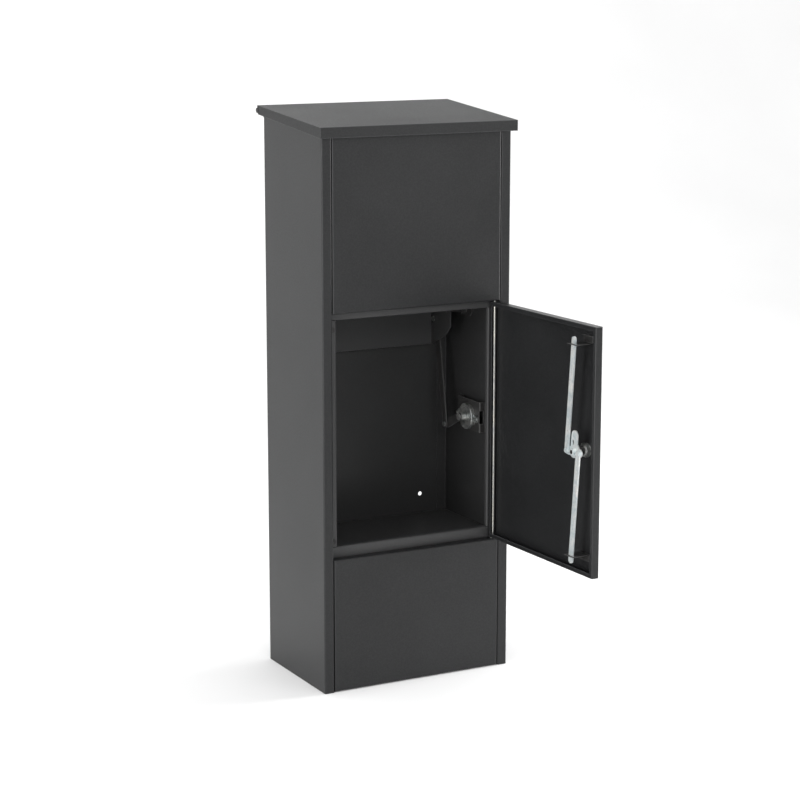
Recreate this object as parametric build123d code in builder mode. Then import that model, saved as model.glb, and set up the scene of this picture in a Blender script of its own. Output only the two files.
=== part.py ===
from build123d import *
import math
import os

# Free-standing parcel drop box of folded steel sheet. A parcel goes in under the rear-hinged
# lid, falls past a swinging flap into the locked compartment, and is taken out at the front
# door. Millimetres, +Z up, the front faces -Y, and the origin is the middle of the footprint
# on the floor. The door stands open and the lid is shut.

# ---------------------------------------------------------------- driving dimensions
body_width = 400.0
body_depth = 250.0
sheet = 1.5                    # cabinet sheet
bend = 3.0                     # outer radius of a fold
clearance = 0.3                # between pieces that lie side by side
running = 0.05                 # radial play of a pin in its bore

jamb_width = 20.0              # front return of each side wall
rear_return = 22.0             # rear return of each side wall
panel_gap = 1.3                # joint between a front panel and the jamb
stop_depth = 18.5              # front face to the faces that stop the door

lid_rear_height = 1098.0       # top of the lid at its rear edge
lid_front_height = 1073.0      # top of the lid at its front edge
lid_side_overhang = 7.5
lid_front_overhang = 11.0
lid_rear_overhang = 14.0
lid_lip = 20.0                 # height of the front skirt
lid_rear_skirt = 17.5          # height of the side skirts at their rear end
rim_gap = 2.0                  # lid sheet to the rim of the cabinet

lid_axis_setback = 12.0        # hinge axis behind the back wall
lid_axis_drop = 10.0           # hinge axis under the rear edge of the lid
lid_pin_radius = 4.0

door_bottom = 262.0
door_height = 465.0
door_thickness = 15.5
door_sheet = 1.2
door_bend = 3.0
door_lip = 8.0                 # return lip round the back of the door
door_gap = 2.0                 # joint above and below the door
door_side_gap = 2.5            # joint at the free edge
door_axis_inset = 6.0          # hinge axis from the hinge edge
door_axis_depth = 7.5          # hinge axis behind the front face
door_jamb_space = 8.8          # hinge axis to the jamb
door_pin_radius = 2.5
door_open_angle = 92.0

opening_side = 37.0            # outer side of the cabinet to the edge of the door opening
opening_bottom = 281.0
opening_top = 714.0
stop_lip = 8.0                 # return lip of the stop stiles
rail_lip = 12.0                # return lip of the stop rails, which the rods catch

floor_height = 262.0           # top of the storage floor
floor_flange = 22.0
base_flange = 30.0
anchor_hole_radius = 5.5
anchor_spacing_x = 280.0
anchor_spacing_y = 150.0
wall_hole_radius = 4.25
wall_hole_spacing_x = 280.0
wall_hole_spacing_z = 600.0
wall_hole_middle = 600.0

lock_from_hinge = 306.0
lock_height = 494.0
rod_pin_radius_of_swing = 18.0
rod_width = 12.0
rod_thickness = 3.0
rod_pin_radius = 2.5
upper_rod_tip = 706.5
lower_rod_tip = 285.0
cam_depth = 29.0               # front face of the door to the cam plate
cam_thickness = 2.5
cam_reach = 40.0               # length of the latch lobe
barrel_radius = 9.5
guide_from_tip = 15.0
guide_width = 29.0
guide_sheet = 1.5
guide_play = 5.5               # side play that lets a rod lean as the cam turns

damper_y = 4.0                 # damper axis
damper_z = 480.0
crank_y = 49.0                 # crank pin from the damper axis
crank_z = -23.5
strap_y = 39.5                 # upper strap pin from the crank pin
strap_z = 208.8
flap_side_space = 45.0         # outer side of the cabinet to the flap's cheek
flap_sheet = 1.5
flap_face_y = 102.5            # front face of the hanging flap
flap_bottom = 612.5
flap_top = 736.0
link_pin_radius = 3.0
lid_arm_length = 60.0
lid_arm_angle = 208.0          # direction of the lid arm at rest, from +Y towards +Z
link_width = 14.0
link_sheet = 2.5
link_space = 17.0              # flap's cheek to the inner face of the lid link, at the left
strap_space = 3.0              # flap's cheek to the inner face of the strap, at the right
strap_sheet = 2.5

# ---------------------------------------------------------------- worked out from them
half_width = body_width / 2
front_y = -body_depth / 2
back_y = body_depth / 2
side_inner = half_width - sheet
back_inner = back_y - 2 * sheet            # inner face of the rear returns
lid_front_y = front_y - lid_front_overhang
lid_rear_y = back_y + lid_rear_overhang
lid_rise = lid_rear_height - lid_front_height
lid_run = lid_rear_y - lid_front_y
lid_slope = math.atan2(lid_rise, lid_run)
lid_half_width = half_width + lid_side_overhang
lid_axis_y = back_y + lid_axis_setback
lid_axis_z = lid_rear_height - lid_axis_drop
door_top = door_bottom + door_height
hinge_x = half_width - jamb_width - door_jamb_space
hinge_y = front_y + door_axis_depth
door_free_edge = hinge_x + half_width - jamb_width - door_side_gap
door_width = door_free_edge + door_axis_inset
panel_half_width = half_width - jamb_width - panel_gap
stop_y = front_y + stop_depth
opening_half = half_width - opening_side
flap_half_width = half_width - flap_side_space
link_x = -flap_half_width - link_space
strap_x = flap_half_width + strap_space
flap_axis_y = damper_y + strap_y
flap_axis_z = damper_z + strap_z


def lid_top(y):
    """Height of the lid's upper face over a place y."""
    return lid_front_height + (y - lid_front_y) * lid_rise / lid_run


def lid_under(y):
    """Height of the lid's lower face over a place y."""
    return lid_top(y) - sheet / math.cos(lid_slope)


rim_plane = Plane(
    origin=(0, front_y, lid_under(front_y) - rim_gap),
    x_dir=(1, 0, 0),
    z_dir=(0, -math.sin(lid_slope), math.cos(lid_slope)),
)


def side_view(x):
    """Plane at x whose sketch axes are Y and Z; it extrudes towards +X."""
    return Plane.YZ.offset(x)


def front_view(y):
    """Plane at y whose sketch axes are X and Z; it extrudes towards the front."""
    return Plane(origin=(0, y, 0), x_dir=(1, 0, 0), z_dir=(0, -1, 0))


def plan_view(z):
    """Plane at z whose sketch axes are X and Y; it extrudes upwards."""
    return Plane.XY.offset(z)


open_turn = math.radians(door_open_angle)
door_along = Vector(-math.cos(open_turn), -math.sin(open_turn), 0)
door_inward = Vector(-math.sin(open_turn), math.cos(open_turn), 0)


def door_plan(z):
    """Plan of the open door: x runs from the hinge to the free edge, y towards its front."""
    return Plane(origin=(hinge_x, hinge_y, z), x_dir=door_along, z_dir=(0, 0, 1))


def door_view(depth):
    """Inside view of the door at a depth behind its front face: x along it, y up."""
    start = Vector(hinge_x, hinge_y, 0) + door_inward * (depth - door_axis_depth)
    return Plane(origin=start, x_dir=door_along, z_dir=door_inward)


os.makedirs("parts", exist_ok=True)


def save(piece, name):
    """Label a finished piece and write it."""
    piece.part.label = name
    export_step(piece.part, f"parts/{name}.step")


def folded(plane, points, length, side, thickness=sheet, radius=bend):
    """Sheet folded along a path of points and as long as the given length."""
    with BuildPart() as piece:
        with BuildSketch(plane):
            with BuildLine():
                FilletPolyline(*points, radius=radius)
                offset(amount=thickness, side=side)
            make_face()
        extrude(amount=length)
    return piece


# ---------------------------------------------------------------- cabinet shell
wall_rear_y = back_y - sheet
wall_profile = [
    (-half_width + rear_return, wall_rear_y),
    (-half_width, wall_rear_y),
    (-half_width, front_y),
    (-half_width + jamb_width, front_y),
    (-half_width + jamb_width, stop_y),
]
with BuildPart() as side_wall_left:
    with BuildSketch(plan_view(0)):
        with BuildLine():
            FilletPolyline(*wall_profile, radius=bend)
            offset(amount=sheet, side=Side.LEFT)
        make_face()
    extrude(amount=lid_rear_height)
    split(bisect_by=rim_plane, keep=Keep.BOTTOM)
save(side_wall_left, "side_wall_left")

with BuildPart() as side_wall_right:
    mirror(side_wall_left.part, about=Plane.YZ)
save(side_wall_right, "side_wall_right")

with BuildPart() as back_panel:
    with BuildSketch(front_view(back_y)):
        with Locations((0, lid_rear_height / 2)):
            Rectangle(body_width - sheet, lid_rear_height)
        with Locations((0, wall_hole_middle)):
            with GridLocations(wall_hole_spacing_x, wall_hole_spacing_z, 2, 2):
                Circle(wall_hole_radius, mode=Mode.SUBTRACT)
    extrude(amount=sheet)
    split(bisect_by=rim_plane, keep=Keep.BOTTOM)
save(back_panel, "back_panel")

base_front = stop_y
base_length = back_inner - clearance - base_front
with BuildPart() as base_pan:
    with BuildSketch(plan_view(0)):
        with Locations((0, base_front + base_length / 2)):
            RectangleRounded(2 * side_inner, base_length, bend)
    extrude(amount=base_flange)
    with BuildSketch(plan_view(sheet)):
        with Locations((0, base_front + base_length / 2)):
            RectangleRounded(2 * (side_inner - sheet), base_length - 2 * sheet, bend - sheet)
    extrude(amount=base_flange, mode=Mode.SUBTRACT)
    with BuildSketch(plan_view(0)):
        with GridLocations(anchor_spacing_x, anchor_spacing_y, 2, 2):
            Circle(anchor_hole_radius)
    extrude(amount=sheet, mode=Mode.SUBTRACT)
save(base_pan, "base_pan")


def front_panel(bottom, top, pin_flange_z):
    """Front panel between the jambs, with the hole for a door pin in one of its flanges."""
    height = top - bottom
    with BuildPart() as panel:
        with BuildSketch(plan_view(bottom)):
            with Locations((0, front_y + stop_depth / 2)):
                Rectangle(2 * panel_half_width, stop_depth)
        extrude(amount=height)
        fillet(panel.faces().sort_by(Axis.Y)[0].edges(), radius=bend)
        with BuildSketch(front_view(stop_y)):
            with Locations((0, bottom + height / 2)):
                Rectangle(2 * (panel_half_width - sheet), height - 2 * sheet)
        extrude(amount=stop_depth - sheet, mode=Mode.SUBTRACT)
        with BuildSketch(plan_view(pin_flange_z)):
            with Locations((hinge_x, hinge_y)):
                Circle(door_pin_radius + running)
        extrude(amount=sheet, mode=Mode.SUBTRACT)
    return panel


upper_panel_bottom = door_top + door_gap
upper_panel_top = lid_under(front_y) - rim_gap
upper_front_panel = front_panel(upper_panel_bottom, upper_panel_top, upper_panel_bottom)
save(upper_front_panel, "upper_front_panel")

lower_panel_top = door_bottom - door_gap
lower_panel_bottom = 1.0
lower_front_panel = front_panel(lower_panel_bottom, lower_panel_top, lower_panel_top - sheet)
save(lower_front_panel, "lower_front_panel")

# ---------------------------------------------------------------- door stops and floor
stop_overlap = 31.0            # how far the stops run past the edge of the opening
stile_foot = 26.0
stile_bottom = opening_bottom + clearance
stile_height = opening_top - clearance - stile_bottom
stile_profile = [
    (-side_inner, stop_y + stile_foot),
    (-side_inner, stop_y),
    (-opening_half, stop_y),
    (-opening_half, stop_y + stop_lip),
]
stop_stile_left = folded(plan_view(stile_bottom), stile_profile, stile_height, Side.LEFT)
save(stop_stile_left, "stop_stile_left")

with BuildPart() as stop_stile_right:
    mirror(stop_stile_left.part, about=Plane.YZ)
save(stop_stile_right, "stop_stile_right")

rail_half = side_inner - clearance
top_rail_profile = [
    (stop_y, opening_top + stop_overlap),
    (stop_y, opening_top),
    (stop_y + rail_lip, opening_top),
]
stop_rail_top = folded(side_view(-rail_half), top_rail_profile, 2 * rail_half, Side.LEFT)
save(stop_rail_top, "stop_rail_top")

bottom_rail_profile = [
    (stop_y, opening_bottom - stop_overlap),
    (stop_y, opening_bottom),
    (stop_y + rail_lip, opening_bottom),
]
stop_rail_bottom = folded(side_view(-rail_half), bottom_rail_profile, 2 * rail_half, Side.RIGHT)
save(stop_rail_bottom, "stop_rail_bottom")

floor_front = stop_y + sheet
floor_length = back_inner - floor_front
with BuildPart() as storage_floor:
    with BuildSketch(plan_view(floor_height - floor_flange)):
        with Locations((0, floor_front + floor_length / 2)):
            RectangleRounded(2 * side_inner, floor_length, bend)
    extrude(amount=floor_flange)
    with BuildSketch(plan_view(floor_height - floor_flange)):
        with Locations((0, floor_front + floor_length / 2)):
            RectangleRounded(2 * (side_inner - sheet), floor_length - 2 * sheet, bend - sheet)
    extrude(amount=floor_flange - sheet, mode=Mode.SUBTRACT)
save(storage_floor, "storage_floor")

# ---------------------------------------------------------------- drop shaft above the flap
shaft_half = flap_half_width + 5.0         # inner faces of the shaft sides
shaft_bottom = flap_top + 30.0
shaft_top = lid_front_height - 35.0
shaft_rear = back_inner - clearance
chute_profile = [
    (stop_y + clearance, shaft_top),
    (stop_y + clearance, opening_top + 106.0),
    (stop_y + 60.0, opening_top + 1.0),
]
drop_chute = folded(side_view(-shaft_half), chute_profile, 2 * shaft_half, Side.LEFT)
save(drop_chute, "drop_chute")

shaft_front = stop_y + 62.0
for side, name in ((-1, "shaft_side_left"), (1, "shaft_side_right")):
    with BuildPart() as shaft_side:
        with BuildSketch(side_view(side * (shaft_half + clearance))):
            with Locations(((shaft_front + shaft_rear) / 2, (shaft_bottom + shaft_top) / 2)):
                Rectangle(shaft_rear - shaft_front, shaft_top - shaft_bottom)
        extrude(amount=side * sheet)
        with BuildSketch(side_view(side * (shaft_half + clearance))):
            with Locations((shaft_rear - sheet / 2, (shaft_bottom + shaft_top) / 2)):
                Rectangle(sheet, shaft_top - shaft_bottom)
        extrude(amount=side * jamb_width)
    save(shaft_side, name)

deflector_profile = [
    (shaft_rear + clearance, flap_top + 85.0),
    (shaft_rear + clearance, flap_top + 40.0),
    (flap_face_y - 3.0, flap_top + 9.0),
]
rear_deflector = folded(
    side_view(-flap_half_width), deflector_profile, 2 * flap_half_width, Side.RIGHT
)
save(rear_deflector, "rear_deflector")

# ---------------------------------------------------------------- lid and its hinge
lug_sheet = 3.0
lug_inset = 3.0                # skirt to the ear of a hinge lug
lug_ear_x = half_width - lug_inset
lug_width = 40.0
lug_ear_radius = 7.0
rear_return_height = 8.0
with BuildPart() as lid:
    with BuildSketch(side_view(-lid_half_width)):
        with BuildLine():
            Polyline(
                (lid_rear_y, lid_rear_height),
                (lid_front_y, lid_front_height),
                (lid_front_y, lid_front_height - lid_lip),
                (lid_rear_y - 6.0, lid_rear_height - lid_rear_skirt),
                (lid_rear_y, lid_rear_height - lid_rear_skirt + 6.0),
                close=True,
            )
        make_face()
    extrude(amount=2 * lid_half_width)
    top_face = lid.faces().sort_by(Axis.Z)[-1]
    fillet(top_face.edges(), radius=bend - 0.5)
    with BuildSketch(side_view(-lid_half_width + sheet)):
        with BuildLine():
            Polyline(
                (lid_rear_y - sheet, lid_under(lid_rear_y - sheet)),
                (lid_front_y + sheet, lid_under(lid_front_y + sheet)),
                (lid_front_y + sheet, lid_front_height - 2 * lid_lip),
                (lid_rear_y - sheet, lid_front_height - 2 * lid_lip),
                close=True,
            )
        make_face()
    extrude(amount=2 * (lid_half_width - sheet), mode=Mode.SUBTRACT)
    with BuildSketch(front_view(lid_rear_y + 1.0)):
        with Locations((0, lid_rear_height - rear_return_height)):
            Rectangle(2 * (lid_half_width - sheet), 60.0, align=(Align.CENTER, Align.MAX))
        for side in (-1, 1):
            with Locations((side * (half_width - lug_width / 2), lid_rear_height - sheet - 0.3)):
                Rectangle(lug_width + 4 * lug_inset, 30.0, align=(Align.CENTER, Align.MAX))
    extrude(amount=sheet + 2.0, mode=Mode.SUBTRACT)
    with BuildSketch(side_view(-lid_half_width - 1.0)):
        with Locations((lid_axis_y, lid_axis_z)):
            Circle(lid_pin_radius)
    extrude(amount=2 * lid_half_width + 2.0, mode=Mode.SUBTRACT)
save(lid, "lid")

lid_pin_length = 20.0
lid_pin_head = 0.8
with BuildPart() as lid_hinge_pins:
    for side in (-1, 1):
        with BuildSketch(side_view(side * lid_half_width)):
            with Locations((lid_axis_y, lid_axis_z)):
                Circle(lid_pin_radius)
        extrude(amount=-side * lid_pin_length)
        with BuildSketch(side_view(side * lid_half_width)):
            with Locations((lid_axis_y, lid_axis_z)):
                Circle(lid_pin_radius + lid_pin_head)
        extrude(amount=side * lid_pin_head)
save(lid_hinge_pins, "lid_hinge_pins")

for side, name in ((-1, "hinge_lug_left"), (1, "hinge_lug_right")):
    with BuildPart() as hinge_lug:
        with BuildSketch(side_view(side * lug_ear_x)):
            with Locations((lid_axis_y, lid_axis_z)):
                Circle(lug_ear_radius)
            with BuildLine():
                Polyline(
                    (back_y, lid_axis_z - 2.5 * lug_ear_radius),
                    (back_y, lid_axis_z + lug_ear_radius - 1.0),
                    (lid_axis_y, lid_axis_z + lug_ear_radius),
                    (lid_axis_y + lug_ear_radius, lid_axis_z),
                    (lid_axis_y + lug_ear_radius - 2.0, lid_axis_z - lug_ear_radius + 2.0),
                    close=True,
                )
            make_face()
            with Locations((lid_axis_y, lid_axis_z)):
                Circle(lid_pin_radius + running, mode=Mode.SUBTRACT)
        extrude(amount=-side * lug_sheet)
        with BuildSketch(front_view(back_y)):
            with Locations((side * (lug_ear_x - lug_width / 2), lid_axis_z - 2.5 * lug_ear_radius)):
                Rectangle(lug_width, 2.4 * lug_ear_radius, align=(Align.CENTER, Align.MIN))
        extrude(amount=-lug_sheet)
    save(hinge_lug, name)

stiffener_half = opening_half - 12.0
stiffener_y = lid_front_y + lid_run * 0.42
hat_steps = [(-28.0, 0.0), (-15.0, 0.0), (-11.0, 9.0), (11.0, 9.0), (15.0, 0.0), (28.0, 0.0)]
hat_profile = []
for step, drop in hat_steps:
    hat_profile.append((stiffener_y + step, lid_under(stiffener_y + step) - drop))
lid_stiffener = folded(
    side_view(-stiffener_half), hat_profile, 2 * stiffener_half, Side.RIGHT, radius=1.8
)
save(lid_stiffener, "lid_stiffener")


# ---------------------------------------------------------------- lid link and flap
def bar(plane, start, end, width, thickness, holes):
    """Flat bar with rounded ends round two places, and a round hole for each (place, radius)."""
    along = Vector(end[0] - start[0], end[1] - start[1], 0)
    middle = ((start[0] + end[0]) / 2, (start[1] + end[1]) / 2)
    turn = math.degrees(math.atan2(along.Y, along.X))
    with BuildPart() as piece:
        with BuildSketch(plane):
            with Locations(Location((*middle, 0), (0, 0, turn))):
                SlotCenterToCenter(along.length, width)
            for place, radius in holes:
                with Locations(place):
                    Circle(radius, mode=Mode.SUBTRACT)
        extrude(amount=thickness)
    return piece


def stepped_pin(plane, place, steps):
    """Round pin along a plane's normal, one (start, end, radius) for each of its steps."""
    with BuildPart() as piece:
        for start, end, radius in steps:
            with BuildSketch(plane.offset(start)):
                with Locations(place):
                    Circle(radius)
            extrude(amount=end - start)
    return piece


arm_turn = math.radians(lid_arm_angle)
arm_y = lid_arm_length * math.cos(arm_turn)
arm_z = lid_arm_length * math.sin(arm_turn)
link_top = (lid_axis_y + arm_y, lid_axis_z + arm_z)
link_bottom = (flap_axis_y + arm_y, flap_axis_z + arm_z)
arm_x = link_x + 1.0
link_play = 0.3                # play at the lower eye of the link and of the strap

with BuildPart() as lid_arm:
    with BuildSketch(side_view(arm_x)):
        with BuildLine():
            Polyline(
                (link_top[0] - 24.0, lid_under(link_top[0] - 24.0)),
                (link_top[0] + 32.0, lid_under(link_top[0] + 32.0)),
                (link_top[0] + 7.0, link_top[1] - 3.0),
                (link_top[0] - 7.0, link_top[1] - 3.0),
                close=True,
            )
        make_face()
        with Locations(link_top):
            Circle(8.0)
            Circle(link_pin_radius, mode=Mode.SUBTRACT)
    extrude(amount=link_sheet)
    with BuildSketch(side_view(arm_x)):
        with BuildLine():
            Polyline(
                (link_top[0] - 24.0, lid_under(link_top[0] - 24.0)),
                (link_top[0] + 32.0, lid_under(link_top[0] + 32.0)),
                (link_top[0] + 32.0, lid_under(link_top[0] + 32.0) - link_sheet),
                (link_top[0] - 24.0, lid_under(link_top[0] - 24.0) - link_sheet),
                close=True,
            )
        make_face()
    extrude(amount=16.0)
save(lid_arm, "lid_arm")

lid_link = bar(
    side_view(link_x),
    link_bottom,
    link_top,
    link_width,
    -link_sheet,
    [(link_top, link_pin_radius + running), (link_bottom, link_pin_radius + link_play)],
)
save(lid_link, "lid_link")

link_pin_steps = [
    (-link_sheet - 2.4, -link_sheet - 0.4, link_pin_radius + 2.0),
    (-link_sheet - 0.4, 1.0 + link_sheet + 1.0, link_pin_radius),
]
link_pin_top = stepped_pin(side_view(link_x), link_top, link_pin_steps)
save(link_pin_top, "link_pin_top")
link_pin_bottom = stepped_pin(side_view(link_x), link_bottom, link_pin_steps)
save(link_pin_bottom, "link_pin_bottom")

flap_pivot_radius = 5.0
flap_arm = bar(
    side_view(arm_x),
    link_bottom,
    (flap_axis_y, flap_axis_z),
    18.0,
    link_sheet,
    [(link_bottom, link_pin_radius), ((flap_axis_y, flap_axis_z), flap_pivot_radius)],
)
save(flap_arm, "flap_arm")

strap_top = (flap_axis_y + crank_y, flap_axis_z + crank_z)
strap_bottom = (damper_y + crank_y, damper_z + crank_z)
cheek_front = flap_axis_y - 19.4
with BuildPart() as drop_flap:
    with BuildSketch(side_view(-flap_half_width)):
        with BuildLine():
            Polyline(
                (flap_face_y + flap_sheet, flap_bottom),
                (cheek_front + 21.5, flap_bottom + 24.8),
                (cheek_front, flap_bottom + 45.6),
                (cheek_front, flap_axis_z + 8.0),
                (cheek_front + 9.0, flap_axis_z + 16.0),
                (cheek_front + 36.0, flap_axis_z + 27.0),
                (flap_face_y + flap_sheet, flap_top),
                close=True,
            )
        make_face()
    extrude(amount=2 * flap_half_width)
    with BuildSketch(side_view(-flap_half_width + flap_sheet)):
        with Locations((flap_face_y, flap_bottom - 10.0)):
            Rectangle(120.0, 200.0, align=(Align.MAX, Align.MIN))
    extrude(amount=2 * (flap_half_width - flap_sheet), mode=Mode.SUBTRACT)
    with BuildSketch(side_view(-flap_half_width - 1.0)):
        with Locations((flap_axis_y, flap_axis_z)):
            Circle(flap_pivot_radius)
    extrude(amount=2 * flap_half_width + 2.0, mode=Mode.SUBTRACT)
    with BuildSketch(side_view(0)):
        with Locations(strap_top):
            Circle(link_pin_radius)
    extrude(amount=2 * flap_half_width, mode=Mode.SUBTRACT)
save(drop_flap, "drop_flap")

pivot_inner_end = flap_half_width - flap_sheet - 1.5
pivot_outer_end = side_inner - 3.0
with BuildPart() as flap_pivot_pins:
    for side in (-1, 1):
        with BuildSketch(side_view(side * pivot_inner_end)):
            with Locations((flap_axis_y, flap_axis_z)):
                Circle(flap_pivot_radius)
        extrude(amount=side * (pivot_outer_end - pivot_inner_end))
save(flap_pivot_pins, "flap_pivot_pins")

bearing_plate = 2.0
bearing_spread = 34.0
bearing_width = 24.0
bearing_boss = 9.0
bearing_reach = 12.0
for side, name in ((-1, "flap_bearing_left"), (1, "flap_bearing_right")):
    with BuildPart() as flap_bearing:
        with BuildSketch(side_view(side * side_inner)):
            with Locations((flap_axis_y, flap_axis_z)):
                SlotCenterToCenter(bearing_spread, bearing_width)
        extrude(amount=-side * bearing_plate)
        with BuildSketch(side_view(side * side_inner)):
            with Locations((flap_axis_y, flap_axis_z)):
                Circle(bearing_boss)
        extrude(amount=-side * bearing_reach)
        with BuildSketch(side_view(side * (side_inner - bearing_plate))):
            with Locations((flap_axis_y, flap_axis_z)):
                Circle(flap_pivot_radius + running)
        extrude(amount=-side * bearing_reach, mode=Mode.SUBTRACT)
    save(flap_bearing, name)

# ---------------------------------------------------------------- damper, crank and strap
strap_eye_radius = 11.0
strap_foot_radius = 6.5
with BuildPart() as strap:
    with BuildSketch(side_view(strap_x)):
        with BuildLine():
            Polyline(
                (strap_top[0] - strap_eye_radius, strap_top[1]),
                (strap_top[0] + strap_eye_radius, strap_top[1]),
                (strap_bottom[0] + strap_foot_radius, strap_bottom[1]),
                (strap_bottom[0] - strap_foot_radius, strap_bottom[1]),
                close=True,
            )
        make_face()
        with Locations(strap_top):
            Circle(strap_eye_radius)
        with Locations(strap_bottom):
            Circle(strap_foot_radius)
        with Locations(strap_top):
            Circle(link_pin_radius + running, mode=Mode.SUBTRACT)
        with Locations(strap_bottom):
            Circle(link_pin_radius + link_play, mode=Mode.SUBTRACT)
    extrude(amount=strap_sheet)
save(strap, "strap")

crank_gap = 1.5
crank_x = strap_x + strap_sheet + crank_gap
strap_pin_top = stepped_pin(
    side_view(0),
    strap_top,
    [
        (flap_half_width - flap_sheet - 2.5, flap_half_width - flap_sheet, link_pin_radius + 2.2),
        (flap_half_width - flap_sheet, strap_x + strap_sheet + 0.3, link_pin_radius),
        (strap_x + strap_sheet + 0.3, strap_x + strap_sheet + 1.2, link_pin_radius + 1.5),
    ],
)
save(strap_pin_top, "strap_pin_top")

crank_pin = stepped_pin(
    side_view(0),
    strap_bottom,
    [
        (strap_x - 3.3, strap_x - 0.4, link_pin_radius + 1.8),
        (strap_x - 0.4, crank_x + link_sheet, link_pin_radius),
    ],
)
save(crank_pin, "crank_pin")

damper_place = (damper_y, damper_z)
hub_radius = 4.0
crank_arm = bar(
    side_view(crank_x),
    strap_bottom,
    damper_place,
    16.0,
    link_sheet,
    [(strap_bottom, link_pin_radius), (damper_place, hub_radius)],
)
save(crank_arm, "crank_arm")

damper_radius = 26.0
damper_front = crank_x + link_sheet + 11.5
damper_thickness = 8.0
hub_depth = 5.0                # length of the hub inside the damper
damper_back = damper_front + damper_thickness
damper_hub = stepped_pin(
    side_view(0),
    damper_place,
    [
        (crank_x - crank_gap + clearance, crank_x, hub_radius + 3.0),
        (crank_x, crank_x + link_sheet, hub_radius),
        (crank_x + link_sheet, damper_front - 0.5, hub_radius + 4.0),
        (damper_front - 0.5, damper_front + hub_depth, hub_radius),
    ],
)
save(damper_hub, "damper_hub")

ear_y = 33.8
ear_z = 1.5
ear_places = [(damper_y + ear_y, damper_z + ear_z), (damper_y - ear_y, damper_z - ear_z)]
ear_turn = math.degrees(math.atan2(ear_z, ear_y))
ear_width = 14.0
ear_thickness = 3.0
screw_radius = 2.5
with BuildPart() as damper_body:
    with BuildSketch(side_view(damper_back - ear_thickness)):
        with Locations(Location((*damper_place, 0), (0, 0, ear_turn))):
            SlotCenterToCenter(2 * math.hypot(ear_y, ear_z), ear_width)
        with Locations(*ear_places):
            Circle(screw_radius, mode=Mode.SUBTRACT)
    extrude(amount=ear_thickness)
    with BuildSketch(side_view(damper_front)):
        with Locations(damper_place):
            Circle(damper_radius)
    extrude(amount=damper_thickness)
    rim = damper_body.edges().filter_by(GeomType.CIRCLE).sort_by(Axis.X)[0]
    fillet(rim, radius=1.5)
    with BuildSketch(side_view(damper_front)):
        with Locations(damper_place):
            Circle(hub_radius + running)
    extrude(amount=hub_depth + clearance, mode=Mode.SUBTRACT)
save(damper_body, "damper_body")

bracket_front = damper_y - 42.0
bracket_rear = damper_y + 42.0
bracket_bottom = damper_z - 27.0
bracket_height = 61.0
bracket_foot = 13.0
bracket_sheet = 2.0
bracket_notch_depth = 14.0
bracket_notch_height = 26.0
bracket_face = damper_back + bracket_sheet
bracket_profile = [
    (side_inner, bracket_front - bracket_foot),
    (side_inner, bracket_front),
    (bracket_face, bracket_front),
    (bracket_face, bracket_rear),
    (side_inner, bracket_rear),
    (side_inner, bracket_rear + bracket_foot),
]
bracket_blank = folded(
    plan_view(bracket_bottom),
    bracket_profile,
    bracket_height,
    Side.LEFT,
    thickness=bracket_sheet,
    radius=2.2,
)
with BuildPart() as damper_bracket:
    add(bracket_blank.part)
    with BuildSketch(front_view(bracket_front + 1.0)):
        with Locations((bracket_face, bracket_bottom + bracket_height / 2)):
            Rectangle(bracket_notch_depth, bracket_notch_height)
    extrude(amount=bracket_sheet + 3.0, mode=Mode.SUBTRACT)
    with BuildSketch(side_view(damper_back)):
        with Locations(*ear_places):
            Circle(screw_radius)
    extrude(amount=bracket_sheet, mode=Mode.SUBTRACT)
save(damper_bracket, "damper_bracket")

screw_head_radius = 4.4
screw_head_height = 3.0
socket_radius = 2.4
socket_depth = 2.0
screw_end = 3.0                # length behind the bracket
with BuildPart() as damper_screws:
    for place in ear_places:
        with BuildSketch(side_view(damper_back - ear_thickness - screw_head_height)):
            with Locations(place):
                Circle(screw_head_radius)
        extrude(amount=screw_head_height)
        with BuildSketch(side_view(damper_back - ear_thickness - screw_head_height)):
            with Locations(place):
                RegularPolygon(socket_radius, 6)
        extrude(amount=socket_depth, mode=Mode.SUBTRACT)
        with BuildSketch(side_view(damper_back - ear_thickness)):
            with Locations(place):
                Circle(screw_radius)
        extrude(amount=ear_thickness + bracket_sheet + screw_end)
save(damper_screws, "damper_screws")

# ---------------------------------------------------------------- door
door_middle = (door_free_edge - door_axis_inset) / 2
door_centre_y = door_axis_depth - door_thickness / 2
with BuildPart() as door_panel:
    with BuildSketch(door_plan(door_bottom)):
        with Locations((door_middle, door_centre_y)):
            RectangleRounded(door_width, door_thickness, door_bend)
    extrude(amount=door_height)
    with BuildSketch(door_plan(door_bottom + door_sheet)):
        with Locations((door_middle, door_centre_y)):
            RectangleRounded(
                door_width - 2 * door_sheet,
                door_thickness - 2 * door_sheet,
                door_bend - door_sheet,
            )
    extrude(amount=door_height - 2 * door_sheet, mode=Mode.SUBTRACT)
    with BuildSketch(door_view(door_thickness - 2 * door_sheet)):
        with Locations((door_middle, door_bottom + door_height / 2)):
            Rectangle(door_width - 2 * door_lip, door_height - 2 * door_lip)
    extrude(amount=3 * door_sheet, mode=Mode.SUBTRACT)
    with BuildSketch(door_view(-1.0)):
        with Locations((lock_from_hinge, lock_height)):
            Circle(barrel_radius)
    extrude(amount=3.0 * door_sheet, mode=Mode.SUBTRACT)
    with BuildSketch(door_plan(door_bottom - 1.0)):
        Circle(door_pin_radius)
    extrude(amount=door_height + 2.0, mode=Mode.SUBTRACT)
save(door_panel, "door_panel")

rod_end = 10.0                 # length of the hinge rod above and below the door
with BuildPart() as door_hinge_rod:
    with BuildSketch(door_plan(door_bottom - rod_end)):
        Circle(door_pin_radius)
    extrude(amount=door_height + 2 * rod_end)
save(door_hinge_rod, "door_hinge_rod")

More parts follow.
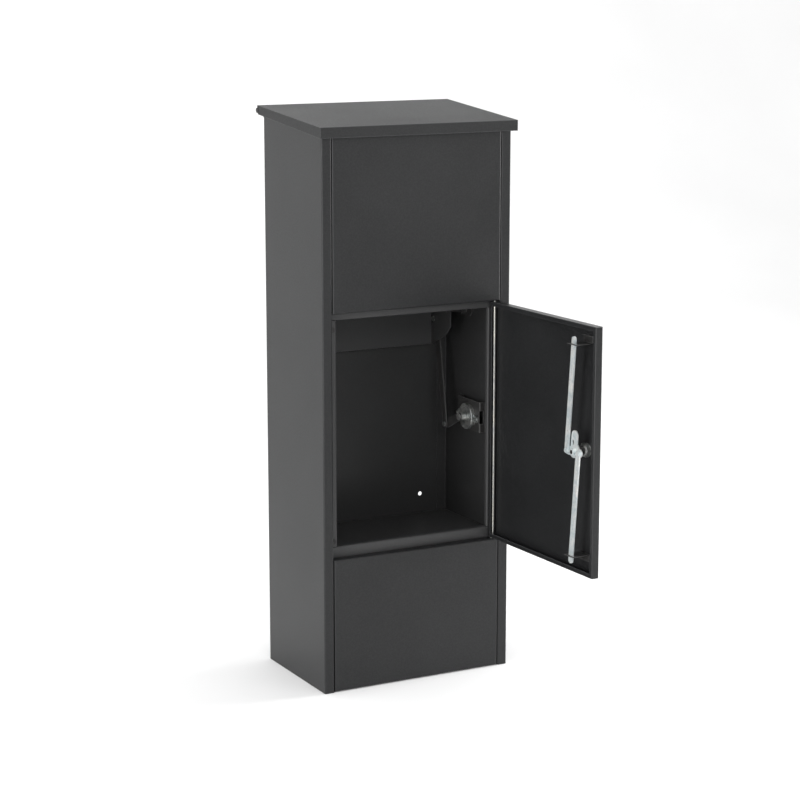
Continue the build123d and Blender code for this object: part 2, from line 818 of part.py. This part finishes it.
with BuildPart() as door_washer:
    with BuildSketch(door_plan(door_bottom)):
        Circle(door_pin_radius + 2.8)
        Circle(door_pin_radius, mode=Mode.SUBTRACT)
    extrude(amount=0.1 - door_gap)
save(door_washer, "door_washer")

lock_place = (lock_from_hinge, lock_height)
plug_radius = 6.0
barrel_end = 24.0
spindle_radius = 4.0
with BuildPart() as lock_body:
    with BuildSketch(door_view(0)):
        with Locations(lock_place):
            Circle(barrel_radius + 3.0)
    extrude(amount=-2.4)
    fillet(lock_body.faces().sort_by(Axis(door_view(0).origin, door_inward))[0].edges(), radius=1.2)
    with BuildSketch(door_view(0)):
        with Locations(lock_place):
            Circle(barrel_radius)
    extrude(amount=barrel_end)
    with BuildSketch(door_view(-3.0)):
        with Locations(lock_place):
            Circle(plug_radius + running)
    extrude(amount=barrel_end + 6.0, mode=Mode.SUBTRACT)
save(lock_body, "lock_body")

washer_thickness = 1.2
washer_radius = 13.0
nut_thickness = 7.0
nut_half_flats = 12.0
with BuildPart() as lock_washer:
    with BuildSketch(door_view(door_sheet)):
        with Locations(lock_place):
            Circle(washer_radius)
            Circle(barrel_radius, mode=Mode.SUBTRACT)
    extrude(amount=washer_thickness)
save(lock_washer, "lock_washer")

with BuildPart() as lock_nut:
    with BuildSketch(door_view(door_sheet + washer_thickness)):
        with Locations(lock_place):
            RegularPolygon(nut_half_flats, 6, major_radius=False)
            Circle(barrel_radius, mode=Mode.SUBTRACT)
    extrude(amount=nut_thickness)
save(lock_nut, "lock_nut")

with BuildPart() as lock_plug:
    with BuildSketch(door_view(-1.8)):
        with Locations(lock_place):
            Circle(plug_radius)
            Rectangle(1.6, 8.0, mode=Mode.SUBTRACT)
    extrude(amount=9.8)
    with BuildSketch(door_view(8.0)):
        with Locations(lock_place):
            Circle(plug_radius)
    extrude(amount=barrel_end - 7.5)
    with BuildSketch(door_view(barrel_end + 0.5)):
        with Locations(lock_place):
            Circle(plug_radius + 2.0)
    extrude(amount=cam_depth - barrel_end - 0.5)
    with BuildSketch(door_view(cam_depth)):
        with Locations(lock_place):
            Circle(spindle_radius)
    extrude(amount=cam_thickness + 5.0)
save(lock_plug, "lock_plug")

swing = rod_pin_radius_of_swing
upper_pin_place = (lock_from_hinge - swing, lock_height)
lower_pin_place = (lock_from_hinge + swing, lock_height)
lobe_half = 9.0
lobe_lean = 3.0
with BuildPart() as cam_plate:
    with BuildSketch(door_view(cam_depth)):
        with Locations(lock_place):
            SlotCenterToCenter(2 * swing, 16.0)
            Circle(11.5)
        with Locations((lock_from_hinge + lobe_lean, lock_height + cam_reach - lobe_half)):
            Circle(lobe_half)
        with BuildLine():
            Polyline(
                (lock_from_hinge + lobe_lean - lobe_half, lock_height + cam_reach - lobe_half),
                (lock_from_hinge + lobe_lean + lobe_half, lock_height + cam_reach - lobe_half),
                (lock_from_hinge + lobe_lean + lobe_half - 1.0, lock_height + 16.0),
                (lock_from_hinge + swing, lock_height + 6.0),
                (lock_from_hinge - 9.0, lock_height + 6.0),
                close=True,
            )
        make_face()
        with Locations((lock_from_hinge - 1.0, lock_height + 17.5)):
            Ellipse(2.6, 4.8, mode=Mode.SUBTRACT)
        with Locations(lock_place):
            Circle(spindle_radius, mode=Mode.SUBTRACT)
        with Locations(upper_pin_place, lower_pin_place):
            Circle(rod_pin_radius, mode=Mode.SUBTRACT)
    extrude(amount=cam_thickness)
save(cam_plate, "cam_plate")

cam_face = cam_depth + cam_thickness
with BuildPart() as cam_nut:
    with BuildSketch(door_view(cam_face)):
        with Locations(lock_place):
            RegularPolygon(6.5, 6, major_radius=False)
            Circle(spindle_radius, mode=Mode.SUBTRACT)
    extrude(amount=4.0)
save(cam_nut, "cam_nut")

rod_depth = cam_face + 0.3
rod_back = rod_depth + rod_thickness
with BuildPart() as rod_pins:
    with BuildSketch(door_view(cam_depth)):
        with Locations(upper_pin_place, lower_pin_place):
            Circle(rod_pin_radius)
    extrude(amount=rod_back + 0.3 - cam_depth)
    with BuildSketch(door_view(rod_back + 0.3)):
        with Locations(upper_pin_place, lower_pin_place):
            Circle(rod_pin_radius + 2.0)
    extrude(amount=1.8)
save(rod_pins, "rod_pins")

tip_radius = rod_width / 2
for name, place, tip in (
    ("upper_rod", upper_pin_place, upper_rod_tip - tip_radius),
    ("lower_rod", lower_pin_place, lower_rod_tip + tip_radius),
):
    rod = bar(
        door_view(rod_depth),
        place,
        (lock_from_hinge, tip),
        rod_width,
        rod_thickness,
        [(place, rod_pin_radius + running)],
    )
    save(rod, name)

guide_foot = 14.0
guide_reach = rod_back + 4.0
for name, height, direction in (
    ("rod_guide_top", upper_rod_tip - guide_from_tip, 1),
    ("rod_guide_bottom", lower_rod_tip + guide_from_tip, -1),
):
    with BuildPart() as rod_guide:
        with BuildSketch(door_view(door_sheet)):
            with Locations((lock_from_hinge, height + direction * guide_foot / 2)):
                Rectangle(guide_width, guide_foot)
        extrude(amount=guide_sheet)
        with BuildSketch(door_view(door_sheet)):
            with Locations((lock_from_hinge, height + direction * guide_sheet / 2)):
                Rectangle(guide_width, guide_sheet)
        extrude(amount=guide_reach - door_sheet)
        with BuildSketch(door_view(rod_depth - 0.8)):
            with Locations((lock_from_hinge, height + direction * guide_sheet / 2)):
                Rectangle(rod_width + 2 * guide_play, 2 * guide_sheet)
        extrude(amount=rod_thickness + 1.6, mode=Mode.SUBTRACT)
    save(rod_guide, name)

# ---------------------------------------------------------------- rubber pads
pad_radius = 5.0
pad_play = 0.3
pad_x = -opening_half - 9.0        # the pads are at the free edge of the door
pad_spread_z = door_height - 60.0
lid_pad_spread = 2 * (opening_half + 9.0) - 4 * pad_radius
with BuildPart() as door_bumpers:
    with BuildSketch(front_view(stop_y)):
        with Locations((pad_x, door_bottom + door_height / 2)):
            with GridLocations(1.0, pad_spread_z, 1, 2):
                Circle(pad_radius)
    extrude(amount=stop_depth - door_thickness - pad_play)
save(door_bumpers, "door_bumpers")

with BuildPart() as lid_bumpers:
    with BuildSketch(plan_view(upper_panel_top)):
        with Locations((0, front_y + stop_depth / 2)):
            with GridLocations(lid_pad_spread, 1.0, 2, 1):
                Circle(pad_radius)
    extrude(amount=rim_gap - pad_play)
save(lid_bumpers, "lid_bumpers")
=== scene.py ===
import math

import bmesh
import bpy
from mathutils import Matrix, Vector

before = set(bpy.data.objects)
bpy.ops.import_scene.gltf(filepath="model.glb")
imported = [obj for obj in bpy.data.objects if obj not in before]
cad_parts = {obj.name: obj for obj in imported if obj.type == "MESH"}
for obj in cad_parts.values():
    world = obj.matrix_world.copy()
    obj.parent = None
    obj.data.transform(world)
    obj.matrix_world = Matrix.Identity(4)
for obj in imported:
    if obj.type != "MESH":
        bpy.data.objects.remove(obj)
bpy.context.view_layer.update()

# ---------------------------------------------------------------- materials
# Each function makes one procedural material. Colours are linear, sizes are in metres.
# A noise or cell scale is in features per metre, and multiplies the stretch of scaled().

BEVEL_SAMPLES = 4
INNER_HALF_WIDTH = 0.1990      # just short of the side walls' outer faces
INNER_HALF_DEPTH = 0.1238      # just short of the rear wall's outer face


class Graph:
    """A material's node graph with short calls for the nodes that the finishes share."""

    def __init__(self, name):
        self.material = bpy.data.materials.new(name)
        self.material.use_nodes = True
        self.tree = self.material.node_tree
        self.shader = self.tree.nodes["Principled BSDF"]
        self.coordinates = self.tree.nodes.new("ShaderNodeTexCoord")
        self.place = self.coordinates.outputs["Object"]

    def link(self, source, target):
        self.tree.links.new(source, target)

    def scaled(self, x, y, z):
        """Object coordinates stretched by a factor along each axis."""
        mapping = self.tree.nodes.new("ShaderNodeMapping")
        mapping.inputs["Scale"].default_value = (x, y, z)
        self.link(self.place, mapping.inputs["Vector"])
        return mapping.outputs["Vector"]

    def noise(self, scale, detail=3.0, roughness=0.5, place=None):
        node = self.tree.nodes.new("ShaderNodeTexNoise")
        node.inputs["Scale"].default_value = scale
        node.inputs["Detail"].default_value = detail
        node.inputs["Roughness"].default_value = roughness
        self.link(place or self.place, node.inputs["Vector"])
        return node.outputs["Fac"]

    def cells(self, scale, place=None):
        node = self.tree.nodes.new("ShaderNodeTexVoronoi")
        node.inputs["Scale"].default_value = scale
        node.feature = "SMOOTH_F1"
        self.link(place or self.place, node.inputs["Vector"])
        return node.outputs["Distance"]

    def spread(self, value, low, high, start=0.3, end=0.7):
        """A value mapped from start..end to low..high."""
        node = self.tree.nodes.new("ShaderNodeMapRange")
        node.inputs["From Min"].default_value = start
        node.inputs["From Max"].default_value = end
        node.inputs["To Min"].default_value = low
        node.inputs["To Max"].default_value = high
        self.link(value, node.inputs["Value"])
        return node.outputs["Result"]

    def blend(self, factor, first, second):
        """Colour between two colours or sockets."""
        node = self.tree.nodes.new("ShaderNodeMix")
        node.data_type = "RGBA"
        self.link(factor, node.inputs["Factor"])
        for socket, value in ((node.inputs[6], first), (node.inputs[7], second)):
            if isinstance(value, tuple):
                socket.default_value = (*value, 1.0)
            else:
                self.link(value, socket)
        return node.outputs[2]

    def maths(self, operation, first, second):
        node = self.tree.nodes.new("ShaderNodeMath")
        node.operation = operation
        for socket, value in ((node.inputs[0], first), (node.inputs[1], second)):
            if isinstance(value, (int, float)):
                socket.default_value = value
            else:
                self.link(value, socket)
        return node.outputs[0]

    def edges(self, radius, low, high):
        """0 on flat faces and 1 where the surface turns within a radius."""
        bevel = self.tree.nodes.new("ShaderNodeBevel")
        bevel.samples = BEVEL_SAMPLES
        bevel.inputs["Radius"].default_value = radius
        geometry = self.tree.nodes.new("ShaderNodeNewGeometry")
        dot = self.tree.nodes.new("ShaderNodeVectorMath")
        dot.operation = "DOT_PRODUCT"
        self.link(bevel.outputs["Normal"], dot.inputs[0])
        self.link(geometry.outputs["Normal"], dot.inputs[1])
        return self.spread(dot.outputs["Value"], 1.0, 0.0, low, high)

    def facing_up(self):
        """1 on faces that look up in the part's own frame and 0 on the others."""
        normal = self.tree.nodes.new("ShaderNodeSeparateXYZ")
        self.link(self.coordinates.outputs["Normal"], normal.inputs[0])
        return self.spread(normal.outputs["Z"], 0.0, 1.0, 0.3, 0.8)

    def inside_shell(self):
        """1 inside the shell's sheets, up to their outer faces, and 0 on those faces."""
        place = self.tree.nodes.new("ShaderNodeSeparateXYZ")
        self.link(self.place, place.inputs[0])
        from_middle_x = self.maths("ABSOLUTE", place.outputs["X"], 0.0)
        from_middle_y = self.maths("ABSOLUTE", place.outputs["Y"], 0.0)
        across = self.maths("LESS_THAN", from_middle_x, INNER_HALF_WIDTH)
        along = self.maths("LESS_THAN", from_middle_y, INNER_HALF_DEPTH)
        return self.maths("MULTIPLY", across, along)

    def rounded(self, radius):
        """Normal with the sharp edges of the sheet rounded over."""
        bevel = self.tree.nodes.new("ShaderNodeBevel")
        bevel.samples = BEVEL_SAMPLES
        bevel.inputs["Radius"].default_value = radius
        return bevel.outputs["Normal"]

    def bump(self, heights, normal=None):
        """Bump from (height socket, distance) pairs, stacked one over the other."""
        for height, distance in heights:
            node = self.tree.nodes.new("ShaderNodeBump")
            node.inputs["Distance"].default_value = distance
            node.inputs["Strength"].default_value = 1.0
            self.link(height, node.inputs["Height"])
            if normal is not None:
                self.link(normal, node.inputs["Normal"])
            normal = node.outputs["Normal"]
        self.link(normal, self.shader.inputs["Normal"])

    def set(self, **values):
        for name, value in values.items():
            socket = self.shader.inputs[name.replace("_", " ").title().replace("Ior", "IOR")]
            if isinstance(value, tuple):
                socket.default_value = (*value, 1.0)
            elif isinstance(value, (int, float)):
                socket.default_value = value
            else:
                self.link(value, socket)


def powder_coat(name, base, light_tone_and_highlight, roughness, dust_and_sheen=None, inside_painted_light=None):
    """Satin black powder coat: fine orange peel, soft sheen drift, pale specks and a painted
    highlight along the folds.

    Faces that look up take a lighter colour, partly a dusting and partly a painted sheen, and faces
    inside the shell a lighter colour that is painted light.
    """
    graph = Graph(name)
    # Faces inside the shell are lightened: painted light on the inside faces.
    if inside_painted_light is not None:
        base = graph.blend(graph.inside_shell(), base, inside_painted_light)
    # Faces that look up are lightened: partly a dusting, partly a painted sheen.
    if dust_and_sheen is not None:
        base = graph.blend(graph.facing_up(), base, dust_and_sheen)
    peel = graph.noise(900.0, 2.0, 0.55)
    grain = graph.noise(2600.0, 1.0, 0.5)
    drift = graph.noise(5.0, 3.0, 0.5)
    # Fold mask: the folds get a painted highlight in the lighter colour, and a lower roughness.
    fold_highlight = graph.edges(0.0022, 0.80, 0.997)
    specks = graph.spread(graph.cells(420.0), 1.0, 0.0, 0.02, 0.10)
    mottle = graph.noise(330.0, 3.0, 0.7)
    shade = graph.blend(graph.spread(drift, 0.0, 0.06), base, light_tone_and_highlight)
    shade = graph.blend(graph.spread(mottle, 0.0, 0.10, 0.40, 0.66), shade, light_tone_and_highlight)
    # Painted highlight along the folds.
    shade = graph.blend(graph.maths("MULTIPLY", fold_highlight, 0.8), shade, light_tone_and_highlight)
    shade = graph.blend(graph.maths("MULTIPLY", specks, 0.18), shade, light_tone_and_highlight)
    rough = graph.spread(drift, roughness - 0.03, roughness + 0.04)
    rough = graph.maths("ADD", rough, graph.spread(grain, -0.04, 0.04))
    rough = graph.maths("ADD", rough, graph.spread(mottle, 0.03, -0.05))
    rough = graph.maths("SUBTRACT", rough, graph.maths("MULTIPLY", fold_highlight, 0.12))
    graph.set(base_color=shade, roughness=rough, ior=1.37)
    graph.bump([(peel, 0.00006), (grain, 0.00002)], graph.rounded(0.0006))
    return graph.material


def bright_zinc(name, length_axis, metallic, pale, cool):
    """Clear-passivated zinc on steel: pale, slightly blue and yellow, with drawn lines."""
    graph = Graph(name)
    stretch = [1400.0, 1400.0, 1400.0]
    stretch[length_axis] = 25.0
    lines = graph.noise(1.0, 3.0, 0.6, graph.scaled(*stretch))
    cloud = graph.noise(55.0, 3.0, 0.6)
    spangle = graph.cells(260.0)
    tint = graph.blend(graph.spread(cloud, 0.0, 1.0, 0.38, 0.62), pale, cool)
    tint = graph.blend(graph.spread(spangle, 0.0, 0.22, 0.0, 0.8), tint, (0.86, 0.84, 0.74))
    rough = graph.maths("ADD", graph.spread(lines, 0.24, 0.38), graph.spread(cloud, -0.03, 0.07))
    graph.set(base_color=tint, metallic=metallic, roughness=rough)
    graph.bump([(lines, 0.000015), (spangle, 0.00002)], graph.rounded(0.0004))
    return graph.material


def polished_nickel(name):
    """Nickel-chrome plating of the lock, bright with faint haze and hairline scratches."""
    graph = Graph(name)
    haze = graph.noise(120.0, 2.0, 0.5)
    scratch = graph.noise(1.0, 2.0, 0.7, graph.scaled(300.0, 4000.0, 2500.0))
    tint = graph.blend(graph.spread(haze, 0.0, 1.0), (0.62, 0.61, 0.60), (0.70, 0.69, 0.67))
    rough = graph.maths("ADD", graph.spread(haze, 0.08, 0.16), graph.spread(scratch, 0.0, 0.06))
    graph.set(base_color=tint, metallic=1.0, roughness=rough)
    graph.bump([(scratch, 0.000006)], graph.rounded(0.0003))
    return graph.material


def blackened_steel(name):
    """Black oxide pins: dark, oily and a little mottled."""
    graph = Graph(name)
    mottle = graph.noise(700.0, 4.0, 0.6)
    tint = graph.blend(graph.spread(mottle, 0.0, 1.0), (0.012, 0.012, 0.014), (0.035, 0.033, 0.032))
    graph.set(base_color=tint, metallic=0.6, roughness=graph.spread(mottle, 0.28, 0.45))
    graph.bump([(mottle, 0.00002)], graph.rounded(0.0004))
    return graph.material


def moulded_nylon(name):
    """Natural nylon washer, milky with a slight mould texture."""
    graph = Graph(name)
    cloud = graph.noise(300.0, 2.0, 0.5)
    tint = graph.blend(graph.spread(cloud, 0.0, 1.0), (0.62, 0.60, 0.54), (0.72, 0.71, 0.66))
    graph.set(base_color=tint, roughness=graph.spread(cloud, 0.38, 0.5), subsurface_weight=0.15)
    graph.bump([(cloud, 0.00002)])
    return graph.material


def black_rubber(name):
    """Matt rubber pads with a fine sanded texture and a dusty bloom."""
    graph = Graph(name)
    fine = graph.noise(1500.0, 3.0, 0.6)
    bloom = graph.noise(90.0, 3.0, 0.6)
    tint = graph.blend(graph.spread(bloom, 0.0, 1.0), (0.012, 0.012, 0.012), (0.03, 0.029, 0.028))
    graph.set(base_color=tint, roughness=graph.spread(fine, 0.75, 0.92))
    graph.bump([(fine, 0.00008)])
    return graph.material


coat_colour = (0.0098, 0.0100, 0.0104)
# Lighter colour for random tone and pale specks, and for the painted highlight along the folds.
light_tone_and_highlight_colour = (0.075, 0.077, 0.080)
# Painted light: lightens the walls' inside faces and their faces that look up.
painted_interior_light_colour = (0.027, 0.027, 0.0272)
shell_coat = powder_coat("shell_coat", coat_colour, light_tone_and_highlight_colour, 0.36)
# The walls' inside faces carry painted light.
wall_coat = powder_coat(
    "wall_coat", coat_colour, light_tone_and_highlight_colour, 0.36, dust_and_sheen=painted_interior_light_colour, inside_painted_light=painted_interior_light_colour
)
# Lid faces that look up: partly a dusting, partly a painted sheen.
lid_dust_and_sheen_colour = (0.022, 0.0235, 0.0235)
lid_coat = powder_coat("lid_coat", coat_colour, light_tone_and_highlight_colour, 0.50, dust_and_sheen=lid_dust_and_sheen_colour)
inner_colour = (0.040, 0.040, 0.0405)
inner_coat = powder_coat("inner_coat", inner_colour, light_tone_and_highlight_colour, 0.42)
bracket_colour = (0.022, 0.0215, 0.021)
# Lighter bracket colour for random tone and specks, and for the painted highlight along the folds.
bracket_light_tone_and_highlight_colour = (0.12, 0.12, 0.12)
bracket_coat = powder_coat("bracket_coat", bracket_colour, bracket_light_tone_and_highlight_colour, 0.36)
rod_zinc = bright_zinc("rod_zinc", 2, 0.55, (0.78, 0.79, 0.78), (0.50, 0.57, 0.60))
hinge_zinc = bright_zinc("hinge_zinc", 2, 0.9, (0.34, 0.33, 0.30), (0.24, 0.25, 0.26))
damper_zinc = bright_zinc("damper_zinc", 1, 0.9, (0.62, 0.63, 0.62), (0.22, 0.24, 0.25))
lock_nickel = polished_nickel("lock_nickel")
pin_black = blackened_steel("pin_black")
washer_nylon = moulded_nylon("washer_nylon")
pad_rubber = black_rubber("pad_rubber")

finishes = {
    shell_coat: [
        "base_pan", "upper_front_panel", "lower_front_panel", "door_panel",
    ],
    wall_coat: ["side_wall_left", "side_wall_right", "back_panel"],
    lid_coat: ["lid"],
    inner_coat: [
        "stop_stile_left", "stop_stile_right", "stop_rail_top", "stop_rail_bottom",
        "storage_floor", "drop_chute", "shaft_side_left", "shaft_side_right",
        "rear_deflector", "drop_flap", "lid_stiffener",
    ],
    bracket_coat: [
        "hinge_lug_left", "hinge_lug_right", "lid_arm", "lid_link", "flap_arm", "strap",
        "crank_arm", "damper_bracket", "rod_guide_top", "rod_guide_bottom", "flap_bearing_left",
        "flap_bearing_right", "flap_pivot_pins",
    ],
    rod_zinc: ["upper_rod", "lower_rod", "cam_plate", "cam_nut", "rod_pins"],
    hinge_zinc: ["door_hinge_rod"],
    damper_zinc: [
        "damper_body", "damper_screws", "damper_hub", "lock_nut", "lock_washer", "crank_pin",
        "strap_pin_top", "link_pin_top", "link_pin_bottom",
    ],
    lock_nickel: ["lock_body", "lock_plug"],
    pin_black: ["lid_hinge_pins"],
    washer_nylon: ["door_washer"],
    pad_rubber: ["door_bumpers", "lid_bumpers"],
}
for material, nodes in finishes.items():
    for node in nodes:
        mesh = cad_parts[node].data
        mesh.materials.clear()
        mesh.materials.append(material)

# ---------------------------------------------------------------- camera
camera_dip = 11.315               # degrees below the horizon
camera_heading = -28.10           # degrees from straight ahead, towards the box's right
camera_data = bpy.data.cameras.new("camera")
camera_data.lens = 99.1           # millimetres
camera_data.sensor_width = 36.0   # millimetres
camera = bpy.data.objects.new("camera", camera_data)
bpy.context.collection.objects.link(camera)
camera.location = (-1.9566, -3.7164, 1.3701)
camera.rotation_euler = (math.radians(90.0 - camera_dip), 0.0, math.radians(camera_heading))
bpy.context.scene.camera = camera

# ---------------------------------------------------------------- floor and light

MIDDLE = (0.0, 0.0, 0.55)

def add_floor():
    """Pale seamless floor that rises behind the object, with a very faint mottle."""
    half, depth, rise, radius = 40.0, 5.0, 7.0, 2.5
    gap = 0.0005               # keeps the floor clear of the base
    steps = 16
    profile = [(-half, 0.0), (depth - radius, 0.0)]
    for step in range(1, steps + 1):
        turn = math.pi / 2 * step / steps
        y = depth - radius + radius * math.sin(turn)
        z = radius - radius * math.cos(turn)
        profile.append((y, z))
    profile.append((depth, rise))
    mesh = bpy.data.meshes.new("floor")
    form = bmesh.new()
    rows = []
    for y, z in profile:
        rows.append([form.verts.new((x, y, z - gap)) for x in (-half, half)])
    for near, far in zip(rows, rows[1:]):
        form.faces.new((near[0], near[1], far[1], far[0]))
    form.to_mesh(mesh)
    form.free()
    for face in mesh.polygons:
        face.use_smooth = True
    floor = bpy.data.objects.new("floor", mesh)
    bpy.context.collection.objects.link(floor)
    graph = Graph("floor_paper")
    mottle = graph.noise(1.5, 2.0, 0.5)
    tint = graph.blend(graph.spread(mottle, 0.0, 1.0), (0.90, 0.90, 0.90), (0.93, 0.93, 0.93))
    graph.set(base_color=tint, roughness=graph.spread(mottle, 0.7, 0.8))
    mesh.materials.append(graph.material)


def add_light(name, place, size, power):
    """Soft white rectangular lamp that faces the middle of the box."""
    lamp = bpy.data.lights.new(name, "AREA")
    lamp.shape = "RECTANGLE"
    lamp.size, lamp.size_y = size
    lamp.energy = power
    holder = bpy.data.objects.new(name, lamp)
    holder.location = place
    aim = Vector(MIDDLE) - Vector(place)
    holder.rotation_mode = "QUATERNION"
    holder.rotation_quaternion = aim.to_track_quat("-Z", "Y")
    bpy.context.collection.objects.link(holder)


add_floor()
world = bpy.data.worlds.new("studio")
world.use_nodes = True
world.node_tree.nodes["Background"].inputs["Color"].default_value = (1.0, 1.0, 1.0, 1.0)
world.node_tree.nodes["Background"].inputs["Strength"].default_value = 1.0
bpy.context.scene.world = world
add_light("left", (-3.1, -1.3, 0.95), (1.3, 1.8), 62.0)
add_light("right", (3.2, -0.3, 0.95), (1.3, 1.8), 120.0)
add_light("front", (-0.9, -4.2, 2.3), (1.2, 0.8), 28.0)

bpy.context.scene.view_settings.view_transform = "Standard"
